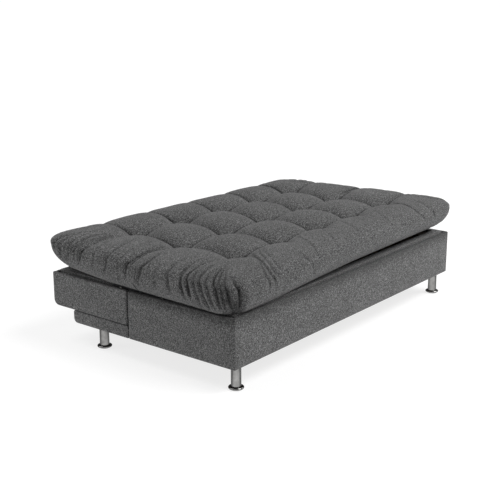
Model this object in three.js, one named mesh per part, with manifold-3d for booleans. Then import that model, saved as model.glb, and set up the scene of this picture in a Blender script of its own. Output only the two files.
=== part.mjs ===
// Futon sofa bed, folded flat as a bed.
// Millimetres, +Z up. The origin is on the floor, under the middle of the bed.
// The sofa faces -Y, its length runs along X, and its back folds up about the line through PIVOT_Z above Y = 0.

import * as THREE from 'three';
import { RoundedBoxGeometry } from 'three/addons/geometries/RoundedBoxGeometry.js';
import { mergeVertices } from 'three/addons/utils/BufferGeometryUtils.js';
import Module from 'manifold-3d';

const wasm = await Module();
wasm.setup();

// Whole frame
const FRAME_LENGTH = 1770;
const FRAME_DEPTH = 1072;
const BOX_DEPTH = 597;
const RAIL_REACH = 943;
const BOX_BOTTOM = 107;
const RAIL_TOP = 165;
const BOX_TOP = 325;
const GAP = 0.3;
const MERGE_DISTANCE = 1e-3;
const OUTLINE_STEPS = 8;
const FOLD_SLOT = 3;

// Boards
const PANEL = 20;
const PANEL_EDGE = 5;
const BOARD_EDGE_STEPS = 1;
const LOW_RAIL = 32;
const FLOOR_BOARD = 12;
const LEG_BLOCK = 90;
const LEG_BLOCK_HEIGHT = 17.7;
const BLOCK_LIFT = 2;
const BLOCK_BOARD = 18;
const BLOCK_FRONT_BOARD = 12;
const BLOCK_BOTTOM_BOARD = 6;

// Mattress
const MATTRESS_OVERHANG_X = 36;
const MATTRESS_OVERHANG_Y = 24;
const MATTRESS_BOTTOM = 332.3;
const MATTRESS_TOP = 495;
const MATTRESS_CORNER = 100;
const MATTRESS_EDGE = 55;
const MATTRESS_EDGE_STEPS = 5;
const MATTRESS_CORNER_STEPS = 6;
const NOTCH_HALF_ANGLE = 46;

// Slatted frames under the mattress
const RAIL_BOTTOM = 302;
const FRAME_TOP = 332;
const FRAME_CLEARANCE = 3.5;
const FOLD_CLEARANCE = 36;
const CROSS_RAIL = 30;
const OUTER_RAIL = 40;
const SIDE_RAIL = 30;
const SLAT_COUNT = 9;
const SLAT_WIDTH = 68;
const SLAT_THICKNESS = 12;
// How far along the slats each strap lies, from the fold to the outer rail
const STRAP_PLACES = [1 / 4, 3 / 4];
const STRAP_WIDTH = 30;
const STRAP_THICKNESS = 2;
const LEDGER_DEPTH = 20;
const LEDGER_HEIGHT = 28;

// Legs
const LEG_INSET_X = 64;
const LEG_INSET_Y = 45;
const REAR_LEG_REACH = 814;
const LEG_RADIUS = 22;
const LEG_WALL = 2;
const FLANGE_RADIUS = 33.5;
const FLANGE_TOP = 13;
// Rim of the foot flange from its underside to its top: [in from its radius, up from its underside]
const FLANGE_RIM = [[7, 0], [2, 2.2], [0, 5], [0.6, 8.1], [4, 9.8]];
const WELD_WIDTH = 1;
const GLIDE_RADIUS = 26;
const GLIDE_HEIGHT = 2;
const PLATE_RADIUS = 34;
const PLATE_HEIGHT = 3;
const LEG_SEGMENTS = 32;
const BOLT_SEGMENTS = 16;

// Click-clack hinges, listed from the end panel inwards
const PIVOT_Z = 316;
const HINGE_PLATE = 4;
const HINGE_PLAY = 0.5;
const EYE_RADIUS = 14;
const HOLE_RADIUS = 6.4;
const BOLT_RADIUS = 6;
const BOLT_HEAD_RADIUS = 10;
const ARM_REACH = 170;
const ARM_HALF_HEIGHT = 12;
const ARM_BOLT_REACH = 125;
const ARM_BOLT_HOLE = 4.4;
const ARM_BOLT_SHANK = 4;
const ARM_BOLT_HEAD = 8;
const ARM_BOLT_HEAD_HEIGHT = 3;
const HEAD_ROUND = 1;
const HEAD_CROWN = 0.7;
const BRACKET_HALF_WIDTH = 35;
const BRACKET_DROP = 90;
const TOOTH_COUNT = 8;
const TOOTH_TIP = 30;
const TOOTH_ROOT = 26;
const TEETH_START = -175;
const TEETH_END = -75;
const TOOTH_SLOPE = 0.9;
const EYE_STEPS = 24;
const PAWL_PIN_Y = -13;
const PAWL_PIN_Z = -62;
const PAWL_PIN_HOLE = 3;
// The pawl's foot and finger: [y, z] from its pin
const PAWL_OUTLINE = [[-9, -8], [9, -8], [10, 8], [15, 23], [10, 30.5], [-8, 10]];

// Places worked out from the sizes above
const HALF_LENGTH = FRAME_LENGTH / 2;
const FRONT_Y = -FRAME_DEPTH / 2;
const REAR_Y = FRAME_DEPTH / 2;
const BOX_REAR_Y = FRONT_Y + BOX_DEPTH;
const RAIL_REAR_Y = FRONT_Y + RAIL_REACH;
const BLOCK_FRONT_Y = BOX_REAR_Y + FOLD_SLOT;
const BLOCK_BOTTOM = RAIL_TOP + BLOCK_LIFT;
const INSIDE_X = HALF_LENGTH - PANEL - GAP;
const INSIDE_FRONT_Y = FRONT_Y + PANEL + GAP;
const FLOOR_Z = BOX_BOTTOM + LEG_BLOCK_HEIGHT + GAP;
const BRACKET_X = INSIDE_X - HINGE_PLATE;
const SEAT_ARM_X = BRACKET_X - HINGE_PLAY - HINGE_PLATE;
const BACK_ARM_X = SEAT_ARM_X - HINGE_PLAY - HINGE_PLATE;
const RATCHET_X = BACK_ARM_X - HINGE_PLAY - HINGE_PLATE;
const SEAT_FRAME_X = SEAT_ARM_X - HINGE_PLAY;
const BACK_FRAME_X = BACK_ARM_X - HINGE_PLAY;
const SIDES = [['left', -1], ['right', 1]];

const upholstery = new THREE.MeshStandardMaterial({ color: 0x4b4b4c, roughness: 0.95, metalness: 0 });
const mattressCloth = new THREE.MeshStandardMaterial({ color: 0x545455, roughness: 0.95, metalness: 0 });
const timber = new THREE.MeshStandardMaterial({ color: 0xb8905c, roughness: 0.7, metalness: 0 });
const slatWood = new THREE.MeshStandardMaterial({ color: 0xd2b380, roughness: 0.6, metalness: 0 });
const chrome = new THREE.MeshStandardMaterial({ color: 0xc9c7c3, roughness: 0.12, metalness: 1 });
const hingeSteel = new THREE.MeshStandardMaterial({ color: 0x55575a, roughness: 0.45, metalness: 0.9 });
const screwSteel = new THREE.MeshStandardMaterial({ color: 0xa9a79a, roughness: 0.35, metalness: 1 });
const glidePlastic = new THREE.MeshStandardMaterial({ color: 0x1c1c1d, roughness: 0.6, metalness: 0 });

const sofa = new THREE.Group();

// --- Helpers ---

function add(name, geometry, material) {
  const mesh = new THREE.Mesh(geometry, material);
  mesh.name = name;
  sofa.add(mesh);
  return mesh;
}

// A span along X on one end of the sofa, from its inner to its outer distance from the middle.
function across(sign, inner, outer) {
  return sign > 0 ? [inner, outer] : [-outer, -inner];
}

function boardGeometry([x0, x1], [y0, y1], [z0, z1], edge = 0) {
  const size = [x1 - x0, y1 - y0, z1 - z0];
  const geometry = edge > 0 ? new RoundedBoxGeometry(...size, BOARD_EDGE_STEPS, edge) : new THREE.BoxGeometry(...size);
  return geometry.translate((x0 + x1) / 2, (y0 + y1) / 2, (z0 + z1) / 2);
}

function board(name, material, x, y, z, edge) {
  return add(name, boardGeometry(x, y, z, edge), material);
}

// An outline drawn in (Y, Z), extruded along X.
function sideways(outline, x, thickness) {
  const geometry = new THREE.ExtrudeGeometry(outline, {
    depth: thickness,
    bevelEnabled: false,
    curveSegments: OUTLINE_STEPS,
  });
  const axes = new THREE.Matrix4().makeBasis(
    new THREE.Vector3(0, 1, 0),
    new THREE.Vector3(0, 0, 1),
    new THREE.Vector3(1, 0, 0),
  );
  return geometry.applyMatrix4(axes).translate(x, 0, 0);
}

function polygon(points) {
  return new THREE.Shape(points.map(([y, z]) => new THREE.Vector2(y, z)));
}

// A turned piece on the vertical line through (x, y).
function turned(profile, x, y) {
  const points = profile.map(([radius, z]) => new THREE.Vector2(radius, z));
  const geometry = new THREE.LatheGeometry(points, LEG_SEGMENTS);
  return geometry.rotateX(Math.PI / 2).translate(x, y, 0);
}

// A turned piece along X that starts at x and points away from the middle.
function turnedSideways(profile, sign, x, y, z) {
  const points = profile.map(([radius, along]) => new THREE.Vector2(radius, along));
  const geometry = new THREE.LatheGeometry(points, BOLT_SEGMENTS);
  return geometry.rotateZ((-sign * Math.PI) / 2).translate(x, y, z);
}

function toSolid(geometry) {
  const bare = geometry.clone();
  bare.deleteAttribute('normal');
  bare.deleteAttribute('uv');
  const merged = mergeVertices(bare, MERGE_DISTANCE);
  return new wasm.Manifold(new wasm.Mesh({
    numProp: 3,
    vertProperties: new Float32Array(merged.attributes.position.array),
    triVerts: new Uint32Array(merged.index.array),
  }));
}

function toGeometry(solid) {
  const mesh = solid.getMesh();
  const geometry = new THREE.BufferGeometry();
  geometry.setAttribute('position', new THREE.BufferAttribute(mesh.vertProperties, 3));
  geometry.setIndex(new THREE.BufferAttribute(mesh.triVerts, 1));
  geometry.computeVertexNormals();
  return geometry;
}

// --- Storage box under the seat ---

function makeStorageBox() {
  const full = [BOX_BOTTOM, BOX_TOP];
  board('front_panel', upholstery, [-HALF_LENGTH, HALF_LENGTH], [FRONT_Y, FRONT_Y + PANEL], full, PANEL_EDGE);
  for (const [side, sign] of SIDES) {
    const x = across(sign, HALF_LENGTH - PANEL, HALF_LENGTH);
    board(`${side}_end_panel`, upholstery, x, [INSIDE_FRONT_Y, BOX_REAR_Y], full, PANEL_EDGE);
  }
  const rearTop = RAIL_BOTTOM - FLOOR_BOARD;
  const inside = [-INSIDE_X, INSIDE_X];
  board('rear_board', upholstery, inside, [BOX_REAR_Y - PANEL, BOX_REAR_Y], [BOX_BOTTOM, rearTop]);
  const floorY = [INSIDE_FRONT_Y, BOX_REAR_Y - PANEL - GAP];
  board('storage_floor', timber, inside, floorY, [FLOOR_Z, FLOOR_Z + FLOOR_BOARD]);
  const ledgerX = [-SEAT_FRAME_X, SEAT_FRAME_X];
  const ledgerY = [INSIDE_FRONT_Y, INSIDE_FRONT_Y + LEDGER_DEPTH];
  board('front_ledger', timber, ledgerX, ledgerY, [RAIL_BOTTOM - GAP - LEDGER_HEIGHT, RAIL_BOTTOM - GAP]);
}

// --- Low frame that the back block lands on ---

function makeLowFrame() {
  const z = [BOX_BOTTOM, RAIL_TOP];
  const y = [BOX_REAR_Y + GAP, RAIL_REAR_Y];
  for (const [side, sign] of SIDES) {
    board(`${side}_low_rail`, upholstery, across(sign, HALF_LENGTH - LOW_RAIL, HALF_LENGTH), y, z, PANEL_EDGE);
  }
  const crossX = HALF_LENGTH - LOW_RAIL - GAP;
  board('rear_cross_rail', upholstery, [-crossX, crossX], [RAIL_REAR_Y - LOW_RAIL, RAIL_REAR_Y], z, PANEL_EDGE);
}

// --- Legs ---

function makeLeg(name, x, y) {
  const glide = [[0, 0], [GLIDE_RADIUS, 0], [GLIDE_RADIUS, GLIDE_HEIGHT], [0, GLIDE_HEIGHT]];
  add(`${name}_glide`, turned(glide, x, y), glidePlastic);
  const flangeFoot = GLIDE_HEIGHT + GAP;
  const flange = [
    [0, flangeFoot],
    ...FLANGE_RIM.map(([inwards, up]) => [FLANGE_RADIUS - inwards, flangeFoot + up]),
    [LEG_RADIUS + WELD_WIDTH, FLANGE_TOP],
    [0, FLANGE_TOP],
  ];
  add(`${name}_foot_flange`, turned(flange, x, y), chrome);
  const bottom = FLANGE_TOP + GAP;
  const plateTop = BOX_BOTTOM - GAP;
  const plateBottom = plateTop - PLATE_HEIGHT;
  const inner = LEG_RADIUS - LEG_WALL;
  const tubeAndPlate = [
    [inner, bottom],
    [LEG_RADIUS, bottom],
    [LEG_RADIUS, plateBottom],
    [PLATE_RADIUS, plateBottom],
    [PLATE_RADIUS, plateTop],
    [0, plateTop],
    [0, plateBottom],
    [inner, plateBottom],
    [inner, bottom],
  ];
  add(`${name}_leg_tube`, turned(tubeAndPlate, x, y), chrome);
}

function makeLegs() {
  for (const [end, reach] of [['front', LEG_INSET_Y], ['rear', REAR_LEG_REACH]]) {
    for (const [side, sign] of SIDES) {
      makeLeg(`${end}_${side}`, sign * (HALF_LENGTH - LEG_INSET_X), FRONT_Y + reach);
    }
  }
}

function makeLegBlocks() {
  for (const [side, sign] of SIDES) {
    const frontX = across(sign, INSIDE_X - LEG_BLOCK, INSIDE_X);
    const frontY = [INSIDE_FRONT_Y, INSIDE_FRONT_Y + LEG_BLOCK];
    board(`front_${side}_leg_block`, timber, frontX, frontY, [BOX_BOTTOM, BOX_BOTTOM + LEG_BLOCK_HEIGHT]);
    const rearInner = HALF_LENGTH - LOW_RAIL - GAP - LEG_BLOCK;
    const rearX = across(sign, rearInner, rearInner + LEG_BLOCK);
    const rearMiddle = FRONT_Y + REAR_LEG_REACH;
    const rearY = [rearMiddle - LEG_BLOCK / 2, rearMiddle + LEG_BLOCK / 2];
    board(`rear_${side}_leg_block`, timber, rearX, rearY, [BOX_BOTTOM, RAIL_TOP - GAP]);
  }
}

// --- Slatted frames ---

// Slats from front to rear, held at even steps by two webbing straps stapled into their tops.
function slatsGeometry(halfWidth, [nearY, farY]) {
  const z = [FRAME_TOP - SLAT_THICKNESS, FRAME_TOP];
  const strapZ = [FRAME_TOP - STRAP_THICKNESS, FRAME_TOP];
  const boards = STRAP_PLACES.map((part) => {
    const middle = nearY + part * (farY - nearY);
    const strapY = [middle - STRAP_WIDTH / 2, middle + STRAP_WIDTH / 2];
    return boardGeometry([-halfWidth, halfWidth], strapY, strapZ);
  });
  for (let i = 0; i < SLAT_COUNT; i++) {
    const middle = 2 * halfWidth * ((i + 0.5) / SLAT_COUNT - 0.5);
    boards.push(boardGeometry([middle - SLAT_WIDTH / 2, middle + SLAT_WIDTH / 2], [nearY, farY], z));
  }
  return toGeometry(boards.map(toSolid).reduce((joined, piece) => joined.add(piece)));
}

// One slatted frame between nearY, beside the fold, and farY, at the sofa's front or rear.
function makeSlattedFrame(name, halfWidth, nearY, farY, farName, nearName) {
  const towards = Math.sign(farY - nearY);
  const z = [RAIL_BOTTOM, FRAME_TOP];
  const nearInner = nearY + towards * CROSS_RAIL;
  const farInner = farY - towards * OUTER_RAIL;
  const ordered = (a, b) => [Math.min(a, b), Math.max(a, b)];
  board(`${name}_${nearName}_rail`, timber, [-halfWidth, halfWidth], ordered(nearY, nearInner), z);
  board(`${name}_${farName}_rail`, timber, [-halfWidth, halfWidth], ordered(farInner, farY), z);
  const between = ordered(nearInner + towards * GAP, farInner - towards * GAP);
  for (const [side, sign] of SIDES) {
    board(`${name}_${side}_side_rail`, timber, across(sign, halfWidth - SIDE_RAIL, halfWidth), between, z);
  }
  add(`${name}_slats`, slatsGeometry(halfWidth - SIDE_RAIL - GAP, between), slatWood);
}

function makeFrames() {
  makeSlattedFrame('seat', SEAT_FRAME_X, -FOLD_CLEARANCE, INSIDE_FRONT_Y + FRAME_CLEARANCE, 'front', 'rear');
  makeSlattedFrame('back', BACK_FRAME_X, FOLD_CLEARANCE, REAR_Y - BLOCK_BOARD - GAP, 'rear', 'front');
}

// --- Back block ---

function makeBackBlock() {
  const z = [BLOCK_BOTTOM, BOX_TOP];
  const inside = HALF_LENGTH - BLOCK_BOARD - GAP;
  for (const [side, sign] of SIDES) {
    const x = across(sign, HALF_LENGTH - BLOCK_BOARD, HALF_LENGTH);
    board(`${side}_block_end_panel`, upholstery, x, [BLOCK_FRONT_Y, REAR_Y], z, PANEL_EDGE);
  }
  const rearY = [REAR_Y - BLOCK_BOARD, REAR_Y];
  board('block_rear_panel', upholstery, [-inside, inside], rearY, z, PANEL_EDGE);
  const frontRear = BLOCK_FRONT_Y + BLOCK_FRONT_BOARD;
  const frontZ = [BLOCK_BOTTOM, RAIL_BOTTOM - GAP];
  board('block_front_panel', upholstery, [-inside, inside], [BLOCK_FRONT_Y, frontRear], frontZ);
  const bottomY = [frontRear + GAP, REAR_Y - BLOCK_BOARD - GAP];
  const bottomZ = [BLOCK_BOTTOM, BLOCK_BOTTOM + BLOCK_BOTTOM_BOARD];
  board('block_bottom_panel', upholstery, [-inside, inside], bottomY, bottomZ);
}

// --- Click-clack hinges ---

// Plate with an eye round the pivot and an arm that runs towards +Y or -Y.
function armOutline(towards) {
  const outline = new THREE.Shape();
  const angle = Math.asin(ARM_HALF_HEIGHT / EYE_RADIUS);
  outline.moveTo(towards * ARM_REACH, PIVOT_Z - ARM_HALF_HEIGHT);
  outline.lineTo(towards * ARM_REACH, PIVOT_Z + ARM_HALF_HEIGHT);
  if (towards > 0) outline.absarc(0, PIVOT_Z, EYE_RADIUS, angle, 2 * Math.PI - angle, false);
  else outline.absarc(0, PIVOT_Z, EYE_RADIUS, Math.PI - angle, Math.PI + angle, true);
  return outline;
}

function bracketOutline() {
  const outline = new THREE.Shape();
  const bottom = PIVOT_Z - BRACKET_DROP;
  outline.moveTo(-BRACKET_HALF_WIDTH, bottom);
  outline.lineTo(BRACKET_HALF_WIDTH, bottom);
  outline.lineTo(BRACKET_HALF_WIDTH, PIVOT_Z - 2 * EYE_RADIUS);
  outline.absarc(0, PIVOT_Z, EYE_RADIUS, 0, Math.PI, false);
  outline.lineTo(-BRACKET_HALF_WIDTH, PIVOT_Z - 2 * EYE_RADIUS);
  return outline;
}

// Saw-toothed sector below an eye round the pivot, from TEETH_START to TEETH_END degrees.
function quadrantOutline() {
  const points = [];
  const place = (radius, degrees) => {
    const angle = THREE.MathUtils.degToRad(degrees);
    points.push([radius * Math.cos(angle), PIVOT_Z + radius * Math.sin(angle)]);
  };
  const toothPitch = (TEETH_END - TEETH_START) / TOOTH_COUNT;
  for (let i = 0; i < TOOTH_COUNT; i++) {
    place(TOOTH_ROOT, TEETH_START + i * toothPitch);
    place(TOOTH_TIP, TEETH_START + (i + TOOTH_SLOPE) * toothPitch);
  }
  place(TOOTH_ROOT, TEETH_END);
  const eyeSweep = 360 - (TEETH_END - TEETH_START);
  for (let i = 0; i <= EYE_STEPS; i++) place(EYE_RADIUS, TEETH_END + (eyeSweep * i) / EYE_STEPS);
  return polygon(points);
}

// Finger that stands just clear of the ratchet's teeth, with a hole for its own pin.
function pawlOutline() {
  return polygon(PAWL_OUTLINE.map(([y, z]) => [PAWL_PIN_Y + y, PIVOT_Z + PAWL_PIN_Z + z]));
}

// Bolt with a low round head, through a hinge arm whose outer face is at distance faceX from the middle.
function armBolt(name, sign, faceX, y) {
  const profile = [
    [0, -HINGE_PLATE],
    [ARM_BOLT_SHANK, -HINGE_PLATE],
    [ARM_BOLT_SHANK, GAP],
    [ARM_BOLT_HEAD, GAP],
    [ARM_BOLT_HEAD - HEAD_ROUND, ARM_BOLT_HEAD_HEIGHT - HEAD_CROWN],
    [ARM_BOLT_HEAD - 3 * HEAD_ROUND, ARM_BOLT_HEAD_HEIGHT],
    [0, ARM_BOLT_HEAD_HEIGHT],
  ];
  add(name, turnedSideways(profile, sign, sign * faceX, y, PIVOT_Z), screwSteel);
}

// Plate along the end panel, with its inner face at distance innerX from the middle and holes at [y, z, radius].
function hingePlate(name, sign, innerX, outline, holes) {
  const x = sign > 0 ? innerX : -innerX - HINGE_PLATE;
  const drilled = holes.reduce((plate, [y, z, radius]) => {
    const drill = new THREE.CylinderGeometry(radius, radius, 3 * HINGE_PLATE, BOLT_SEGMENTS);
    return plate.subtract(toSolid(drill.rotateZ(Math.PI / 2).translate(x, y, z)));
  }, toSolid(sideways(outline, x, HINGE_PLATE)));
  add(name, toGeometry(drilled), hingeSteel);
}

function makeHinge(side, sign) {
  const eye = [0, PIVOT_Z, HOLE_RADIUS];
  const seatHoles = [eye, [-ARM_BOLT_REACH, PIVOT_Z, ARM_BOLT_HOLE]];
  const backHoles = [eye, [ARM_BOLT_REACH, PIVOT_Z, ARM_BOLT_HOLE]];
  const pawlHole = [PAWL_PIN_Y, PIVOT_Z + PAWL_PIN_Z, PAWL_PIN_HOLE];
  hingePlate(`${side}_base_bracket`, sign, BRACKET_X, bracketOutline(), [eye]);
  hingePlate(`${side}_seat_hinge_arm`, sign, SEAT_ARM_X, armOutline(-1), seatHoles);
  hingePlate(`${side}_back_hinge_arm`, sign, BACK_ARM_X, armOutline(1), backHoles);
  hingePlate(`${side}_ratchet_quadrant`, sign, RATCHET_X, quadrantOutline(), [eye]);
  hingePlate(`${side}_ratchet_pawl`, sign, RATCHET_X, pawlOutline(), [pawlHole]);
  const headX = RATCHET_X - GAP - HINGE_PLATE;
  const shankEnd = INSIDE_X - GAP - headX;
  const bolt = [
    [0, 0],
    [BOLT_HEAD_RADIUS - HEAD_ROUND, 0],
    [BOLT_HEAD_RADIUS, HEAD_ROUND],
    [BOLT_HEAD_RADIUS, HINGE_PLATE],
    [BOLT_RADIUS, HINGE_PLATE],
    [BOLT_RADIUS, shankEnd],
    [0, shankEnd],
  ];
  add(`${side}_pivot_bolt`, turnedSideways(bolt, sign, sign * headX, 0, PIVOT_Z), screwSteel);
  armBolt(`${side}_seat_arm_bolt`, sign, SEAT_ARM_X + HINGE_PLATE, -ARM_BOLT_REACH);
  armBolt(`${side}_back_arm_bolt`, sign, BACK_ARM_X + HINGE_PLATE, ARM_BOLT_REACH);
}

// --- Mattress ---

function wholeMattress() {
  const halfX = HALF_LENGTH + MATTRESS_OVERHANG_X - MATTRESS_EDGE;
  const halfY = REAR_Y + MATTRESS_OVERHANG_Y - MATTRESS_EDGE;
  const corner = MATTRESS_CORNER - MATTRESS_EDGE;
  const plan = new THREE.Shape();
  plan.absarc(halfX - corner, halfY - corner, corner, 0, Math.PI / 2, false);
  plan.absarc(-halfX + corner, halfY - corner, corner, Math.PI / 2, Math.PI, false);
  plan.absarc(-halfX + corner, -halfY + corner, corner, Math.PI, 1.5 * Math.PI, false);
  plan.absarc(halfX - corner, -halfY + corner, corner, 1.5 * Math.PI, 2 * Math.PI, false);
  const geometry = new THREE.ExtrudeGeometry(plan, {
    depth: MATTRESS_TOP - MATTRESS_BOTTOM - 2 * MATTRESS_EDGE,
    bevelThickness: MATTRESS_EDGE,
    bevelSize: MATTRESS_EDGE,
    bevelSegments: MATTRESS_EDGE_STEPS,
    curveSegments: MATTRESS_CORNER_STEPS,
  });
  return toSolid(geometry.translate(0, 0, MATTRESS_BOTTOM + MATTRESS_EDGE));
}

// The mattress is notched at the fold, so that its halves meet face to face when both are raised.
function makeMattress() {
  const whole = wholeMattress();
  const lean = THREE.MathUtils.degToRad(NOTCH_HALF_ANGLE);
  const far = 2 * FRAME_DEPTH;
  const slopeY = far * Math.sin(lean);
  const slopeZ = PIVOT_Z + far * Math.cos(lean);
  const cutter = (points) => toSolid(sideways(polygon(points), -FRAME_LENGTH, 2 * FRAME_LENGTH));
  const rearCutter = cutter([[GAP, 0], [far, 0], [far + slopeY, slopeZ], [slopeY, slopeZ], [GAP, PIVOT_Z]]);
  const frontCutter = cutter([[-far, 0], [-GAP, 0], [-GAP, PIVOT_Z], [-slopeY, slopeZ], [-far - slopeY, slopeZ]]);
  const apex = PIVOT_Z + 2 * GAP;
  const foldCutter = cutter([[0, apex], [slopeY, slopeZ + 2 * GAP], [-slopeY, slopeZ + 2 * GAP]]);
  add('seat_mattress', toGeometry(whole.intersect(frontCutter)), mattressCloth);
  add('back_mattress', toGeometry(whole.intersect(rearCutter)), mattressCloth);
  add('mattress_fold', toGeometry(whole.intersect(foldCutter)), mattressCloth);
}

makeStorageBox();
makeLowFrame();
makeLegs();
makeLegBlocks();
makeFrames();
makeBackBlock();
SIDES.forEach(([side, sign]) => makeHinge(side, sign));
makeMattress();

export default sofa;
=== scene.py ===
import bpy
import math
import numpy as np
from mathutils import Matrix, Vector, noise


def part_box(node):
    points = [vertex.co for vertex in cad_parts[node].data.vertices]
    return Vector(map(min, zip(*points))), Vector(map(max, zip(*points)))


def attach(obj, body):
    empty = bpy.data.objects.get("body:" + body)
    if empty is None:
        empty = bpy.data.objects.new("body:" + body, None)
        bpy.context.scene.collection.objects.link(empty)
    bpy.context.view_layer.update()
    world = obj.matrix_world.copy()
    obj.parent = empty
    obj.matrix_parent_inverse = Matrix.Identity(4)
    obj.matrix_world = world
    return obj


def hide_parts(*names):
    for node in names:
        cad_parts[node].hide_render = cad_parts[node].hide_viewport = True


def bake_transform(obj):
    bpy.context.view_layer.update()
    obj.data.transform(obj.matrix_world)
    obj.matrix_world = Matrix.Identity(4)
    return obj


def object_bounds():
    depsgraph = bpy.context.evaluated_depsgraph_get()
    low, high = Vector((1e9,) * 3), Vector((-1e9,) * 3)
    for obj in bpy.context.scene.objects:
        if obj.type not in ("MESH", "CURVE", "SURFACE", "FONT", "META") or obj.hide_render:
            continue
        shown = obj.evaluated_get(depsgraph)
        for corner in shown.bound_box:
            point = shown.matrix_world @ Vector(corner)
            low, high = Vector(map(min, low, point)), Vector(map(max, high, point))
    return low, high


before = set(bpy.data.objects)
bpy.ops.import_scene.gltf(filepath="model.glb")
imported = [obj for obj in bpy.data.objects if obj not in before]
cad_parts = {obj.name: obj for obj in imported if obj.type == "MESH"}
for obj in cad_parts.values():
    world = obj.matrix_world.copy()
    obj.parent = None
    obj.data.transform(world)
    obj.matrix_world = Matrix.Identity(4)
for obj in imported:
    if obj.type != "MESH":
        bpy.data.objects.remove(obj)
cad_low, cad_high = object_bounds()

MM = 0.001

# ---------------------------------------------------------------- camera
CAMERA_PLACE = (-3.8716, -2.9793, 1.6932)
CAMERA_YAW = 0.9010  # radians, from +Y towards +X
CAMERA_PITCH = 0.2732  # radians, below the horizon
CAMERA_LENS = 74.55
SENSOR_WIDTH = 36


def make_camera():
    data = bpy.data.cameras.new("camera")
    data.lens = CAMERA_LENS
    data.sensor_width = SENSOR_WIDTH
    camera = bpy.data.objects.new("camera", data)
    bpy.context.scene.collection.objects.link(camera)
    camera.location = CAMERA_PLACE
    camera.rotation_euler = (math.pi / 2 - CAMERA_PITCH, 0, -CAMERA_YAW)
    bpy.context.scene.camera = camera


# ---------------------------------------------------------------- light and floor
WORLD_LIGHT = 0.12
FLOOR_HALF = 60.0
FLOOR_TONE = 0.28
FLOOR_GLOW = 0.78


def add_light(data, place, facing):
    """Puts a light at place, so that it shines along facing."""
    light = bpy.data.objects.new(data.name, data)
    bpy.context.scene.collection.objects.link(light)
    light.location = place
    light.rotation_euler = facing.to_track_quat("-Z", "Y").to_euler()


def area_light(name, place, target, size, power):
    """A square soft box; size is the length of its side."""
    data = bpy.data.lights.new(name, "AREA")
    data.size = size
    data.energy = power
    add_light(data, place, Vector(target) - Vector(place))


def soft_sun(name, towards, strength, spread):
    """A broad soft light that comes from the direction towards; spread is its angle in degrees."""
    data = bpy.data.lights.new(name, "SUN")
    data.energy = strength
    data.angle = math.radians(spread)
    add_light(data, Vector(towards) * 5, -Vector(towards))


def make_world(strength):
    world = bpy.data.worlds.new("studio")
    bpy.context.scene.world = world
    world.use_nodes = True
    background = world.node_tree.nodes["Background"]
    background.inputs["Color"].default_value = (1, 1, 1, 1)
    background.inputs["Strength"].default_value = strength


def make_floor():
    """A wide floor that glows a little, so that it stays white."""
    mesh = bpy.data.meshes.new("floor")
    half = FLOOR_HALF
    corners = [(-half, -half, 0), (half, -half, 0), (half, half, 0), (-half, half, 0)]
    mesh.from_pydata(corners, [], [(0, 1, 2, 3)])
    floor = bpy.data.objects.new("floor", mesh)
    bpy.context.scene.collection.objects.link(floor)
    material = bpy.data.materials.new("floor_paint")
    material.use_nodes = True
    shader = material.node_tree.nodes["Principled BSDF"]
    shader.inputs["Base Color"].default_value = (FLOOR_TONE, FLOOR_TONE, FLOOR_TONE, 1)
    shader.inputs["Emission Color"].default_value = (1, 1, 1, 1)
    shader.inputs["Emission Strength"].default_value = FLOOR_GLOW
    shader.inputs["Roughness"].default_value = 1.0
    shader.inputs["Specular IOR Level"].default_value = 0.0
    mesh.materials.append(material)


def make_lights():
    make_world(WORLD_LIGHT)
    soft_sun("key", (0.25, -0.52, 0.82), strength=1.95, spread=30)
    soft_sun("over", (-0.25, 0.40, 0.88), strength=1.1, spread=35)
    area_light("side", (2.9, -2.3, 2.4), target=(0.5, -0.2, 0.3), size=1.8, power=66)
    area_light("rear_left", (-2.3, 1.9, 0.9), target=(-0.92, 0.45, 0.3), size=1.2, power=11)


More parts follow.
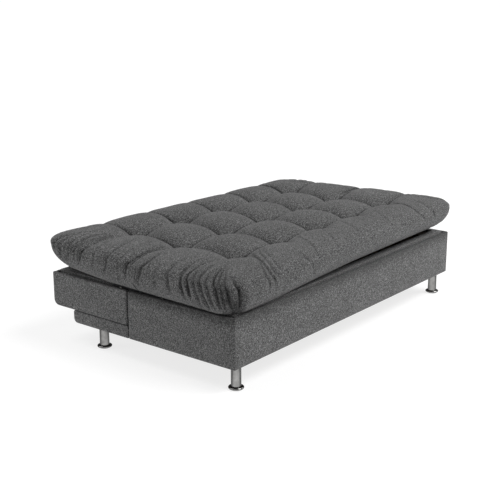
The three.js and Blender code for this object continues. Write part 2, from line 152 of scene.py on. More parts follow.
# ---------------------------------------------------------------- materials
class Nodes:
    """A material's node tree, with short calls for the nodes used here."""

    def __init__(self, name):
        self.material = bpy.data.materials.new(name)
        self.material.use_nodes = True
        self.tree = self.material.node_tree
        self.shader = self.tree.nodes["Principled BSDF"]

    def add(self, kind, **settings):
        node = self.tree.nodes.new(kind)
        for key, value in settings.items():
            setattr(node, key, value)
        return node

    def link(self, source, target):
        self.tree.links.new(source, target)

    def rest(self):
        """Each point's place at rest, in metres."""
        node = self.add("ShaderNodeAttribute", attribute_name="rest")
        return node.outputs["Vector"]

    def place(self):
        """The object's own coordinates, in metres; a CAD piece has no rest attribute."""
        return self.add("ShaderNodeTexCoord").outputs["Object"]

    def scaled(self, vector, scale):
        node = self.add("ShaderNodeMapping")
        node.inputs["Scale"].default_value = scale
        self.link(vector, node.inputs["Vector"])
        return node.outputs["Vector"]

    def noise(self, vector, scale, detail=2.0, roughness=0.5, distortion=0.0):
        node = self.add("ShaderNodeTexNoise")
        node.inputs["Scale"].default_value = scale
        node.inputs["Detail"].default_value = detail
        node.inputs["Roughness"].default_value = roughness
        node.inputs["Distortion"].default_value = distortion
        self.link(vector, node.inputs["Vector"])
        return node.outputs["Fac"]

    def math(self, operation, first, second):
        node = self.add("ShaderNodeMath", operation=operation)
        for socket, value in zip(node.inputs, (first, second)):
            if isinstance(value, (int, float)):
                socket.default_value = value
            else:
                self.link(value, socket)
        return node.outputs["Value"]

    def ramp(self, factor, stops):
        node = self.add("ShaderNodeValToRGB")
        ramp = node.color_ramp
        while len(ramp.elements) < len(stops):
            ramp.elements.new(0.5)
        for element, (place, colour) in zip(ramp.elements, stops):
            element.position = place
            element.color = (*colour, 1)
        self.link(factor, node.inputs["Fac"])
        return node.outputs["Color"]

    def mix(self, factor, first, second, blend="MIX"):
        node = self.add("ShaderNodeMix", data_type="RGBA", blend_type=blend)
        for socket, value in ((node.inputs[0], factor), (node.inputs[6], first), (node.inputs[7], second)):
            if isinstance(value, (int, float)):
                socket.default_value = value
            elif isinstance(value, tuple):
                socket.default_value = (*value, 1)
            else:
                self.link(value, socket)
        return node.outputs[2]

    def bump(self, height, distance, strength=1.0):
        node = self.add("ShaderNodeBump")
        node.inputs["Strength"].default_value = strength
        node.inputs["Distance"].default_value = distance
        self.link(height, node.inputs["Height"])
        self.link(node.outputs["Normal"], self.shader.inputs["Normal"])

    def set(self, **values):
        """Sets or links the shader's sockets; base_color means "Base Color"."""
        for key, value in values.items():
            socket = self.shader.inputs[key.replace("_", " ").title().replace("Ior", "IOR")]
            if isinstance(value, tuple):
                socket.default_value = (*value, 1)
            elif isinstance(value, (int, float)):
                socket.default_value = value
            else:
                self.link(value, socket)


def grey(value):
    return (value, value, value)


YARN_SCALES = ((140, 450, 450), (450, 140, 450), (450, 450, 140))


def make_fabric(name, level, grain, on_cad=False):
    """Heathered charcoal cloth: slubby light and dark yarns in two directions on every face.

    level is its mean tone and grain the scale of its flecks. A point attribute, from 0 to 1, paints
    shade into it: in its folds, seams and tufts, and along the box covers' top edges under the overhang.
    """
    n = Nodes(name)
    rest = n.place() if on_cad else n.rest()
    along = [n.noise(n.scaled(rest, scales), 1.0, 3.0, 0.6) for scales in YARN_SCALES]
    yarn = n.math("ADD", n.math("ADD", along[0], along[1]), along[2])
    yarn = n.math("MULTIPLY", yarn, 1 / 3)
    fleck = n.noise(rest, grain, 2.0, 0.7)
    heather = n.math("ADD", n.math("MULTIPLY", yarn, 0.55), n.math("MULTIPLY", fleck, 0.45))
    cloth = n.ramp(heather, [
        (0.40, grey(level * 0.12)),
        (0.47, grey(level * 0.62)),
        (0.53, grey(level * 1.26)),
        (0.60, grey(level * 3.0)),
    ])
    patch = n.noise(rest, 7.0, 3.0, 0.55)
    worn = n.ramp(patch, [(0.3, grey(0.84)), (0.7, grey(1.0))])
    # Painted shade: a point attribute darkens the cloth in folds, seams and tufts and under the mattress's
    # overhang.
    painted_shade = n.add("ShaderNodeAttribute", attribute_name="painted_shade").outputs["Fac"]
    shade_tint = n.ramp(painted_shade, [(0.0, grey(1.0)), (0.5, grey(0.55)), (1.0, grey(0.26))])
    n.set(base_color=n.mix(1.0, n.mix(1.0, cloth, worn, "MULTIPLY"), shade_tint, "MULTIPLY"))
    n.set(roughness=0.93, specular_ior_level=0.22, sheen_weight=0.12, sheen_roughness=0.45)
    n.bump(heather, 1.6 * MM)
    return n.material


def make_lining(name):
    """Thin black non-woven cloth stapled under the cushions."""
    n = Nodes(name)
    fibres = n.noise(n.rest(), 600.0, 4.0, 0.7)
    n.set(base_color=n.ramp(fibres, [(0.3, grey(0.008)), (0.7, grey(0.03))]))
    n.set(roughness=0.9, specular_ior_level=0.2)
    n.bump(fibres, 0.3 * MM)
    return n.material


def make_wood(name, pale, dark, along):
    """Sawn softwood with its grain along one axis."""
    n = Nodes(name)
    stretch = tuple(4.0 if axis == along else 70.0 for axis in range(3))
    grain = n.noise(n.scaled(n.place(), stretch), 1.0, 6.0, 0.62, 0.9)
    fine = tuple(30.0 if axis == along else 900.0 for axis in range(3))
    pores = n.noise(n.scaled(n.place(), fine), 1.0, 2.0, 0.6)
    figure = n.ramp(grain, [(0.3, dark), (0.5, pale), (0.72, tuple(0.8 * c for c in pale))])
    flecks = n.ramp(pores, [(0.36, grey(0.62)), (0.5, grey(1.0))])
    n.set(base_color=n.mix(1.0, figure, flecks, "MULTIPLY"))
    n.set(roughness=n.ramp(grain, [(0.3, grey(0.7)), (0.7, grey(0.52))]), specular_ior_level=0.35)
    n.bump(n.math("ADD", grain, n.math("MULTIPLY", pores, 0.4)), 0.5 * MM)
    return n.material


def make_chrome(name):
    """Polished chrome with faint lengthwise buffing, dull patches, and a painted dark reflection at the rims
    of a round bar.
    """
    n = Nodes(name)
    place = n.place()
    buffing = n.noise(n.scaled(place, (900, 900, 25)), 1.0, 3.0, 0.6)
    smears = n.noise(place, 38.0, 3.0, 0.6)
    tone = n.ramp(smears, [(0.35, (0.28, 0.277, 0.27)), (0.65, (0.40, 0.396, 0.39))])
    # Painted reflection: the colour darkens where the bar turns away from the view, for the dark
    # surroundings mirrored at its rims.
    facing = n.add("ShaderNodeLayerWeight").outputs["Facing"]
    rim = n.ramp(facing, [(0.0, grey(1.0)), (0.25, grey(0.8)), (0.42, grey(0.28)), (0.7, grey(0.1))])
    n.set(base_color=n.mix(1.0, tone, rim, "MULTIPLY"))
    n.set(metallic=1.0)
    mixed = n.math("ADD", n.math("MULTIPLY", buffing, 0.5), n.math("MULTIPLY", smears, 0.5))
    n.set(roughness=n.ramp(mixed, [(0.3, grey(0.05)), (0.7, grey(0.16))]))
    n.bump(buffing, 0.02 * MM, 0.4)
    return n.material


def make_steel(name, pale, dark, roughness, metallic):
    """Pressed steel with a thin uneven coat and rubbed spots."""
    n = Nodes(name)
    place = n.place()
    mottle = n.noise(place, 160.0, 5.0, 0.62)
    rub = n.noise(place, 34.0, 3.0, 0.55)
    n.set(base_color=n.mix(n.ramp(rub, [(0.45, grey(0.0)), (0.7, grey(0.7))]), dark, pale))
    n.set(roughness=n.ramp(mottle, [(0.3, grey(roughness * 0.75)), (0.7, grey(roughness * 1.25))]))
    n.set(metallic=metallic)
    n.bump(mottle, 0.08 * MM)
    return n.material


def make_plastic(name):
    """Matt black moulded plastic with a fine spark-eroded grain."""
    n = Nodes(name)
    grain = n.noise(n.place(), 1400.0, 2.0, 0.6)
    dust = n.noise(n.place(), 60.0, 3.0, 0.6)
    n.set(base_color=n.ramp(dust, [(0.35, grey(0.010)), (0.75, grey(0.030))]))
    n.set(roughness=n.ramp(grain, [(0.3, grey(0.5)), (0.7, grey(0.68))]))
    n.bump(grain, 0.05 * MM)
    return n.material


# ---------------------------------------------------------------- mesh helpers
def make_object(name, points, faces, materials, face_materials=None, flat_faces=None, painted_shade=None):
    """Makes a mesh object from points in metres.

    Each point's place at rest is kept for the cloth's pattern, and the painted shade, if given, for
    darkening its folds, seams and shadowed edges.
    """
    mesh = bpy.data.meshes.new(name)
    mesh.from_pydata([tuple(p) for p in points], [], [tuple(f) for f in faces])
    mesh.update()
    for material in materials:
        mesh.materials.append(material)
    if face_materials is not None:
        mesh.polygons.foreach_set("material_index", np.asarray(face_materials, np.int32))
    smooth = np.ones(len(mesh.polygons), bool)
    if flat_faces is not None:
        smooth[np.asarray(flat_faces)] = False
    mesh.polygons.foreach_set("use_smooth", smooth)
    rest = mesh.attributes.new("rest", "FLOAT_VECTOR", "POINT")
    rest.data.foreach_set("vector", np.asarray(points, np.float32).ravel())
    # Painted shade for the cloth, one value per point.
    if painted_shade is not None:
        folded = mesh.attributes.new("painted_shade", "FLOAT", "POINT")
        folded.data.foreach_set("value", np.asarray(painted_shade, np.float32))
    made = bpy.data.objects.new(name, mesh)
    bpy.context.scene.collection.objects.link(made)
    return made


def smoothstep(low, high, value):
    """Rises smoothly from 0 at low to 1 at high; low may be the greater."""
    t = np.clip((value - low) / (high - low), 0, 1)
    return t * t * (3 - 2 * t)


def lumps(points, scale, seed):
    """Smooth noise from -1 to 1 at each of the points, with bumps about scale metres across."""
    shift = Vector((seed * 13.7, seed * 5.3, seed * 9.1))
    return np.array([noise.noise(Vector(p) / scale + shift) for p in points])


# ---------------------------------------------------------------- mattress
# All in mm. The mattress is a slab with a deep roll above its widest line and a tighter one below.
SEAM_X = (-590.0, -295.0, 0.0, 295.0, 590.0)
SEAM_Y = (-275.0, 0.0, 298.0)
HALF_X = round(cad_high[0] / MM, 1)
HALF_Y = round(cad_high[1] / MM, 1)
CLEARANCE = 0.5
BOTTOM = round(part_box("seat_mattress")[0][2] / MM, 1) + CLEARANCE
EQUATOR = 456.0
CREST = 500.0
ROLL_TOP = 170.0
ROLL_BOTTOM = 122.0
FULLNESS = 0.86  # power on the rolls' sine and cosine; below 1 is fuller than an ellipse
CORNER = 105.0
CORNER_SPREAD = 110.0
INNER_CORNER = 62.0
CROWN = 9.0

# The grid: rings round each roll, and steps from the edge to the first seam and between seams.
TOP_RINGS = 36
BOTTOM_RINGS = 26
STEPS_X = (38, 48)
STEPS_Y = (30, 66)
SQUEEZE = 0.45


def lines(stops, steps, squeeze):
    """Grid lines from stop to stop; squeeze draws them in towards the stops."""
    made = [np.array([stops[0]])]
    for low, high, count, pull in zip(stops, stops[1:], steps, squeeze):
        t = np.arange(1, count + 1) / count
        made.append(low + (high - low) * (t - pull * np.sin(2 * np.pi * t) / (2 * np.pi)))
    return np.concatenate(made)


def side_lines(inner, seams, near, middle):
    """The grid's lines along one axis, closer together beside the seams."""
    stops = [-inner, *seams, inner]
    steps = [near, *[middle] * (len(seams) - 1), near]
    squeeze = [0.0, *[SQUEEZE] * (len(seams) - 1), 0.0]
    return lines(stops, steps, squeeze)


def outline(t, inner):
    """The rounded outline at t mm along an edge from its corner, as mm in from both sides.

    The first CORNER_SPREAD mm of the edge take up the eighth of a circle that rounds the corner.
    """
    quarter = CORNER * np.pi / 4
    q = np.where(t < CORNER_SPREAD, t * (quarter + CORNER_SPREAD) / CORNER_SPREAD, t + quarter)
    angle = np.pi / 4 - np.clip(q / CORNER, 0, np.pi / 4)
    across = CORNER * (1 - np.cos(angle))
    along = CORNER * (1 - np.sin(angle)) + np.maximum(q - quarter, 0) * (inner + ROLL_TOP - CORNER) / inner
    return across, along


FLAT_TOP, UPPER_ROLL, LOWER_ROLL, FLAT_UNDER = range(4)


class Slab:
    """The mattress before tufting: a closed rounded slab on a grid that keeps to the seam lines.

    points are its points in mm, faces its quads, kind says which part of it each point is in, and
    drop is each point's distance over the surface from the widest line, up positive.
    """

    def __init__(self):
        inner_x, inner_y = HALF_X - ROLL_TOP, HALF_Y - ROLL_TOP
        self.xs = side_lines(inner_x, SEAM_X, *STEPS_X)
        self.ys = side_lines(inner_y, SEAM_Y, *STEPS_Y)
        gx, gy = np.meshgrid(self.xs, self.ys, indexing="ij")
        self.shape = gx.shape
        self.loop = self.rim()
        top = self.rounded(gx, gy, inner_x, inner_y, INNER_CORNER)
        under_x, under_y = HALF_X - ROLL_BOTTOM, HALF_Y - ROLL_BOTTOM
        scale_x, scale_y = under_x / inner_x, under_y / inner_y
        under = self.rounded(gx * scale_x, gy * scale_y, under_x, under_y, INNER_CORNER)
        self.grid = np.stack([gx, gy], -1)
        self.top, self.under = top, under
        self.build()

    def rounded(self, x, y, half_x, half_y, radius):
        """Draws the grid's square corners in to round ones."""
        a = np.maximum(np.abs(x) - (half_x - radius), 0)
        b = np.maximum(np.abs(y) - (half_y - radius), 0)
        both = (a > 0) & (b > 0)
        length = np.hypot(a, b)
        pull = np.where(both, np.maximum(a, b) / np.where(length > 0, length, 1), 1)
        x = np.where(both, np.sign(x) * (half_x - radius + a * pull), x)
        y = np.where(both, np.sign(y) * (half_y - radius + b * pull), y)
        return np.stack([x, y], -1)

    def rim(self):
        """Grid indices round the edge, anticlockwise from the corner at the lowest x and y."""
        nx, ny = self.shape
        return ([(i, 0) for i in range(nx - 1)] + [(nx - 1, j) for j in range(ny - 1)]
                + [(i, ny - 1) for i in range(nx - 1, 0, -1)] + [(0, j) for j in range(ny - 1, 0, -1)])

    def outer(self):
        """Where each rim point's ray meets the outline."""
        inner_x, inner_y = HALF_X - ROLL_TOP, HALF_Y - ROLL_TOP
        last = self.shape[1] - 1
        places = []
        for i, j in self.loop:
            x, y = self.xs[i], self.ys[j]
            tx, ty = inner_x - abs(x), inner_y - abs(y)
            if j in (0, last):
                across, along = outline(np.float64(tx), inner_x)
                places.append((math.copysign(HALF_X - along, x), math.copysign(HALF_Y - across, y)))
            else:
                across, along = outline(np.float64(ty), inner_y)
                places.append((math.copysign(HALF_X - across, x), math.copysign(HALF_Y - along, y)))
        return np.array(places)

    def build(self):
        """Lays the flat top, the rings of both rolls and the flat underside."""
        rim = tuple(np.array(self.loop).T)
        outer = self.outer()
        from_side = HALF_X - ROLL_TOP - np.abs(self.grid[..., 0])
        from_front = HALF_Y - ROLL_TOP - np.abs(self.grid[..., 1])
        inset = np.minimum(from_side, from_front).ravel()
        top_arc = (math.pi / 2) * (ROLL_TOP + CREST - EQUATOR) / 2
        under_arc = (math.pi / 2) * (ROLL_BOTTOM + EQUATOR - BOTTOM) / 2
        layers = [self.layer(self.top.reshape(-1, 2), CREST, top_arc + inset, FLAT_TOP)]
        for k in range(1, TOP_RINGS + 1):
            up = 1 - k / TOP_RINGS
            plan, height = self.ring(self.top[rim], outer, up, CREST)
            layers.append(self.layer(plan, height, top_arc * up, UPPER_ROLL))
        for k in range(1, BOTTOM_RINGS):
            down = k / BOTTOM_RINGS
            plan, height = self.ring(self.under[rim], outer, down, BOTTOM)
            layers.append(self.layer(plan, height, -under_arc * down, LOWER_ROLL))
        layers.append(self.layer(self.under.reshape(-1, 2), BOTTOM, -under_arc - inset, FLAT_UNDER))
        self.points, self.drop, self.kind = (np.concatenate(part) for part in zip(*layers))
        self.faces = self.make_faces(len(self.loop))

    def ring(self, inner, outer, share, flat):
        """A ring of a roll, at share of its quarter turn from the widest line to the height flat."""
        angle = (math.pi / 2) * share
        plan = inner + (outer - inner) * math.cos(angle) ** FULLNESS
        return plan, EQUATOR + (flat - EQUATOR) * math.sin(angle) ** FULLNESS

    def layer(self, plan, height, drop, kind):
        """Points at one height, the drop of each and its kind."""
        count = len(plan)
        points = np.column_stack([plan, np.full(count, height)])
        return points, np.broadcast_to(drop, count), np.full(count, kind)

    def make_faces(self, count):
        """Quads of the top, the rings and the underside; count is the number of points in a ring."""
        nx, ny = self.shape
        index = np.arange(nx * ny).reshape(nx, ny)
        a, b, c, d = index[:-1, :-1], index[1:, :-1], index[1:, 1:], index[:-1, 1:]
        top = np.stack([a, b, c, d], -1).reshape(-1, 4)
        rim = np.array([index[i, j] for i, j in self.loop])
        rings = [rim]
        start = nx * ny
        for _ in range(TOP_RINGS + BOTTOM_RINGS - 1):
            rings.append(np.arange(start, start + count))
            start += count
        rings.append(rim + start)
        sides = []
        for upper, lower in zip(rings, rings[1:]):
            sides.append(np.stack([upper, lower, np.roll(lower, -1), np.roll(upper, -1)], -1))
        under = top[:, ::-1] + start
        return np.concatenate([top, *sides, under])


def arch(s):
    """Quarter-round rise from 0 on a seam to 1 at full width."""
    t = np.clip(s, 0, 1)
    return np.sqrt(np.maximum(1 - (1 - t) ** 2, 0))


# How far the top is drawn down: at the tufts, along the seams, and along the seams at the edge.
TUFT_DEPTH = 80.0
SEAM_DEPTH = 54.0
EDGE_DEPTH = 15.0
TUFT_REACH = 75.0
CELL_HALF = 148.0
EDGE_HALF = 75.0
FRONT_FADE = 0.9
FADE_START, FADE_END = 0.08, 0.5
CELL_NARROWS = (0.1, 0.9)  # from the outermost tufts at 0 to the edge at 1, as are the next two
SEAM_SHALLOWS = (0.0, 0.75)
SEAM_PALES = (0.1, 0.8)
TUFTING_HEIGHT = (-60.0, 40.0)  # tufting comes on over this stretch of the roll
SWELL = 5.0
SWELL_SIZE = 210.0


def outward(x, y):
    """0 at the outermost tufts, 1 at the mattress's edge."""
    beyond_x = (np.abs(x) - SEAM_X[-1]) / (HALF_X - SEAM_X[-1])
    beyond_front = (SEAM_Y[0] - y) / (HALF_Y + SEAM_Y[0])
    beyond_rear = (y - SEAM_Y[-1]) / (HALF_Y - SEAM_Y[-1])
    return np.clip(np.maximum(beyond_x, np.maximum(beyond_front, beyond_rear)), 0, 1)


def front_fade(y):
    """The seams that run out to the front edge die away: 1 inside, less towards the edge."""
    front = (SEAM_Y[0] - y) / (HALF_Y + SEAM_Y[0])
    return 1 - FRONT_FADE * smoothstep(FADE_START, FADE_END, front)


def tufting(x, y):
    """How far the top is drawn down at (x, y)."""
    from_x = np.min([np.abs(x - s) for s in SEAM_X], axis=0)
    from_y = np.min([np.abs(y - s) for s in SEAM_Y], axis=0)
    out = outward(x, y)
    half = CELL_HALF + (EDGE_HALF - CELL_HALF) * smoothstep(*CELL_NARROWS, out)
    dome = arch(from_x / half) * arch(from_y / half)
    nearest = np.hypot(from_x, from_y)
    seam = SEAM_DEPTH + (EDGE_DEPTH - SEAM_DEPTH) * smoothstep(*SEAM_SHALLOWS, out)
    seam = seam * front_fade(y)
    depth = seam + (TUFT_DEPTH - SEAM_DEPTH) * np.exp(-(nearest / TUFT_REACH) ** 2)
    return depth * (1 - dome)


def surface_normals(points, faces):
    """Unit normals at the points, weighted by the area of the quads round them."""
    normals = np.zeros_like(points)
    corner = points[faces]
    face = np.cross(corner[:, 2] - corner[:, 0], corner[:, 3] - corner[:, 1])
    for k in range(4):
        np.add.at(normals, faces[:, k], face)
    return normals / np.maximum(np.linalg.norm(normals, axis=1, keepdims=True), 1e-9)


# Folds of the cover where it is gathered over the ends, in mm. Each is (place along the edge at
# its top, middle and bottom; how far up and down the roll it runs; depth). Places along an end are
# Y, carried on round the corners; places along a side are X. Heights are arc lengths from the
# widest line, up positive.
LEFT_FOLDS = (
    (-520, -545, -555, 50, -95, 17),
    (-495, -498, -530, 50, -95, 14),
    (-455, -470, -505, 120, -100, 10),
    (-410, -440, -485, 145, -100, 13),
    (-375, -405, -460, 130, -110, 9),
    (-335, -370, -430, 115, -115, 11),
    (-270, -300, -330, 110, -80, 12),
    (-300, -338, -375, 110, -100, 8),
    (-238, -265, -295, 105, -80, 9),
    (-150, -140, -130, 40, -70, 4),
    (-195, -205, -215, 90, -80, 7),
    (-55, -68, -20, 100, -70, 9),
    (35, 10, 45, 190, -70, 12),
    (75, 62, 90, 80, -60, 4),
    (185, 130, 190, 140, -90, 8),
    (240, 215, 245, 70, -70, 5),
    (305, 285, 330, 190, -70, 13),
    (365, 340, 360, 90, -60, 7),
    (435, 385, 400, 120, -70, 10),
    (470, 432, 440, 80, -60, 7),
    (500, 470, 480, 105, -60, 15),
)
RIGHT_FOLDS = (
    (525, 545, 560, 60, -90, 15),
    (420, 455, 490, 130, -95, 14),
    (345, 375, 420, 95, -90, 10),
    (285, 300, 320, 170, -70, 11),
    (215, 225, 240, 80, -60, 6),
    (120, 115, 125, 60, -60, 4),
    (10, 20, 5, 180, -70, 10),
    (-50, -60, -45, 70, -60, 5),
    (-150, -165, -150, 90, -70, 5),
    (-275, -300, -330, 170, -80, 11),
    (-350, -380, -410, 90, -80, 8),
    (-430, -455, -480, 110, -90, 12),
    (-500, -520, -540, 60, -90, 12),
)
FRONT_FOLDS = (
    (-490, -600, -640, 220, -60, 6.5),
    (-455, -570, -610, 190, -30, 5),
    (-520, -640, -680, 150, -60, 5),
    (-410, -520, -560, 200, 20, 4),
    (-180, -240, -300, 235, 10, 3.5),
    (-362, -368, -372, 80, -60, 3),
    (-20, -100, -140, 150, 10, 3),
    (150, 105, 70, 200, 60, 3),
    (395, 350, 320, 160, 0, 3),
    (640, 600, 590, 210, -40, 5),
    (720, 700, 690, 110, -40, 4),
)
REAR_FOLDS = (
    (-590, -600, -605, 200, -50, 7),
    (-295, -300, -310, 200, -40, 4),
    (0, -5, -10, 200, -40, 4),
    (295, 300, 305, 200, -40, 4),
    (590, 600, 610, 200, -50, 7),
    (-700, -690, -700, 90, -50, 4),
    (700, 690, 700, 90, -50, 4),
)
FOLD_SCALE = 1.6
FOLD_RUN = 75.0  # each fold runs on this far above its top, dying away
FOLD_STEEP = 11.0
FOLD_GENTLE = 38.0
# Painted shade in the folds: FOLD_DARKEST is the depth painted darkest, PINCH the width of the dark line.
FOLD_DARKEST = 14.0  # a fold this deep is drawn at its darkest
PINCH = 4.5
END_CURVE = 180.0
END_ZONE = 560.0
SIDE_ZONE = 200.0
EDGE_FREE = 60.0
GATHER_LOW, GATHER_HIGH = (-230.0, -90.0), (330.0, 200.0)

# Fine wrinkles between the folds: their spacing across and along, and their depth.
WRINKLE_SPACING = 34.0
WRINKLE_LENGTH = 150.0
WRINKLE_WIDTH = 0.16
WRINKLE_DEPTH = 3.4
WRINKLE_MEAN, WRINKLE_PATCHES = 0.35, 1.6
WRINKLE_X = (600.0, 760.0)
WRINKLE_HEIGHT = (290.0, 110.0)
WRINKLE_CORNERS = (200.0, 420.0)
SIDE_WRINKLE = 0.35
SIDE_WRINKLE_HEIGHT = (200.0, 60.0)
# How dark the painted shade in the fine wrinkles is, at the ends and along the sides.
END_DARKNESS = 0.5
SIDE_DARKNESS = 0.12

# The foam's set. TWIST lifts two opposite corners and lowers the other two.
TWIST = 15.0
LOWER_EDGE = 20.0
# Below the widest line, three places hang lower or stand higher. Each is (rise, way along X, the
# stretch it comes on over, way along Y, the stretch it comes on over).
SETS = (
    (-14.0, -1, (250.0, 700.0), -1, (-480.0, -150.0)),
    (12.0, -1, (700.0, 900.0), 1, (380.0, 540.0)),
    (9.0, 1, (-350.0, 50.0), -1, (300.0, 500.0)),
)

# The underside presses a little past the frames' rails, and is hollow under the fold.
SAG = 7.0
RAIL_EDGE_X = (835.0, 858.0)
RAIL_EDGE_Y = (492.0, 515.0)
FOLD_RISE = 32.0
FOLD_REACH = (80.0, 12.0)
HOLLOW_END = (-830.0, -770.0)  # no hollow at the left end, where it would show
FOLD_START = 0.3
FOLD_GAP = 2.7
GAP_HEIGHTS = (385.0, 365.0)


def around(first, second, half_first, half_second):
    """Distance along an edge, carried on round its corners. first runs along it, second across."""
    across = np.abs(second) - (half_second - END_CURVE)
    beyond = np.abs(first) - (half_first - END_CURVE)
    turn = half_first - END_CURVE + END_CURVE * np.arctan2(np.maximum(beyond, 0), np.maximum(across, 1e-6))
    return np.where(first < 0, -1, 1) * np.where(beyond > 0, turn, np.abs(first))


def fold_depth(place, height, folds, steep_side):
    """How deep the folds sink the cover at each point, and the painted shade in them there, from 0 to 1."""
    deepest, pinch_shade = np.zeros_like(place), np.zeros_like(place)
    for top, middle, bottom, high, low, depth in folds:
        t = (height - low) / (high + FOLD_RUN - low)
        line = bottom + (4 * middle - 3 * bottom - top) * t + 2 * (bottom + top - 2 * middle) * t * t
        side = (place - line) * steep_side
        width = np.where(side > 0, FOLD_STEEP, FOLD_GENTLE)
        ends = smoothstep(0.0, 0.2, t) * smoothstep(0.0, 0.4, 1 - t)
        deepest = np.maximum(deepest, FOLD_SCALE * depth * ends * (1 - arch(np.abs(side) / width)))
        # Painted shade: a dark line down the bottom of each fold.
        spread = np.where(side > 0, PINCH, 2 * PINCH)
        pinch_shade = np.maximum(pinch_shade, depth / FOLD_DARKEST * ends * np.exp(-(side / spread) ** 2))
    return deepest, np.clip(pinch_shade, 0, 1)


def wrinkles(place, height, seed):
    """Fine creases that run down the roll, stronger in some places than others, from 0 to 1."""
    across, down = place / WRINKLE_SPACING, height / WRINKLE_LENGTH
    points = np.column_stack([across, down, np.full(len(place), seed * 3.1)])
    fine = np.array([noise.noise(Vector(p)) for p in points])
    strength = np.array([noise.noise(Vector((p[0] * 0.3, p[1] * 0.8, p[2] + 7))) for p in points])
    patchy = np.clip(WRINKLE_MEAN + WRINKLE_PATCHES * strength, 0, 1)
    return np.clip(1 - np.abs(fine) / WRINKLE_WIDTH, 0, 1) * patchy


def gathered(slab):
    """Total sinking of the cover by folds and fine wrinkles, and the painted shade in them at each point."""
    x, y, _ = slab.points.T
    height = slab.drop
    on_edge = smoothstep(*GATHER_LOW, height) * smoothstep(*GATHER_HIGH, height)
    total, pinch_shade = np.zeros(len(x)), np.zeros(len(x))
    ends = ((x < -END_ZONE, LEFT_FOLDS, -1, 1.0), (x > END_ZONE, RIGHT_FOLDS, 1, 2.0))
    for chosen, folds, steep_side, seed in ends:
        part = np.where(chosen & (on_edge > 0))[0]
        place = around(y[part], x[part], HALF_Y, HALF_X)
        depth, pinch = fold_depth(place, height[part], folds, steep_side * np.where(place < 0, -1, 1))
        near_end = smoothstep(*WRINKLE_X, np.abs(x[part])) * smoothstep(*WRINKLE_HEIGHT, height[part])
        near_end = near_end * (0.7 + 0.7 * smoothstep(*WRINKLE_CORNERS, np.abs(y[part])))
        fine = near_end * wrinkles(place, height[part], seed)
        total[part] = np.maximum(total[part], depth + WRINKLE_DEPTH * fine)
        # Painted shade in the folds and fine wrinkles at the ends.
        pinch_shade[part] = np.maximum(pinch_shade[part], np.maximum(pinch, END_DARKNESS * fine))
    for chosen, folds in ((y < -SIDE_ZONE, FRONT_FOLDS), (y > SIDE_ZONE, REAR_FOLDS)):
        part = np.where(chosen & (on_edge > 0) & (np.abs(x) < HALF_X - EDGE_FREE))[0]
        depth, pinch = fold_depth(x[part], height[part], folds, 1)
        fine = smoothstep(*SIDE_WRINKLE_HEIGHT, height[part]) * wrinkles(x[part], height[part], 3.0)
        total[part] = np.maximum(total[part], depth + SIDE_WRINKLE * WRINKLE_DEPTH * fine)
        # Painted shade in the folds and fine wrinkles along the sides.
        pinch_shade[part] = np.maximum(pinch_shade[part], np.maximum(pinch, SIDE_DARKNESS * fine))
    return total * on_edge, pinch_shade * on_edge


# Painted shade along the stitched seams and in the dimples at the tufts.
SEAM_LINE = 8.0
SEAM_DARKNESS, SEAM_FADE = 0.55, 0.4
TUFT_DIMPLE = 16.0
TUFT_DARKNESS = 0.8


def seam_shade(x, y):
    """Painted shade in the stitched seams between the tufts: 1 at a tuft, less along a seam, least at the
    edges.
    """
    from_x = np.min([np.abs(x - s) for s in SEAM_X], axis=0)
    from_y = np.min([np.abs(y - s) for s in SEAM_Y], axis=0)
    out = outward(x, y)
    strength = SEAM_DARKNESS - SEAM_FADE * smoothstep(*SEAM_PALES, out)
    line = strength * np.exp(-(np.minimum(from_x, from_y) / SEAM_LINE) ** 2)
    dimple = TUFT_DARKNESS * np.exp(-(np.hypot(from_x, from_y) / TUFT_DIMPLE) ** 2)
    return np.maximum(line * front_fade(y), dimple)


PUCKER = 3.0
PUCKER_START = (8.0, 26.0)
PUCKER_REACH = 52.0
PLEATS, PLEAT_GROUPS = 11, 4


def puckers(x, y):
    """Small pleats that run out from each tuft, turned a different way at each."""
    total = np.zeros_like(x)
    for i, tuft_x in enumerate(SEAM_X):
        for j, tuft_y in enumerate(SEAM_Y):
            from_x, from_y = x - tuft_x, y - tuft_y
            angle = np.arctan2(from_y, from_x)
            reach = np.hypot(from_x, from_y)
            star = np.cos(PLEATS * angle + 2.3 * i + 1.7 * j) * np.cos(PLEAT_GROUPS * angle + i - j)
            total += star * smoothstep(*PUCKER_START, reach) * np.exp(-(reach / PUCKER_REACH) ** 2)
    return total


ROW_SHIFTS = (-45.0, 45.0, 0.0, 30.0, 20.0)
SHIFT_HEIGHT = (-40.0, 60.0)


def seam_shift(x, y):
    """The seam lines wander a little along X from row to row."""
    shift = np.interp(y, (-HALF_Y, *SEAM_Y, HALF_Y), ROW_SHIFTS)
    return shift * smoothstep(1.0, 0.72, np.abs(x) / HALF_X)


def settle(x, y, z):
    """The foam's set: how much higher the mattress stands at each point than the slab does."""
    lower = smoothstep(EQUATOR, BOTTOM + LOWER_EDGE, z)
    made = -TWIST * (x / HALF_X) * (y / HALF_Y)
    made += CROWN * (1 - (x / HALF_X) ** 2) * (1 - (y / HALF_Y) ** 2) * (1 - lower)
    for rise, way_x, over_x, way_y, over_y in SETS:
        made += rise * lower * smoothstep(*over_x, way_x * x) * smoothstep(*over_y, way_y * y)
    return made


def underside(x, y):
    """The lowest that the mattress may hang at (x, y)."""
    past_rails = np.maximum(smoothstep(*RAIL_EDGE_X, np.abs(x)), smoothstep(*RAIL_EDGE_Y, np.abs(y)))
    hollow = FOLD_RISE * smoothstep(*FOLD_REACH, np.abs(y)) * smoothstep(*HOLLOW_END, x)
    return BOTTOM - SAG * past_rails + hollow


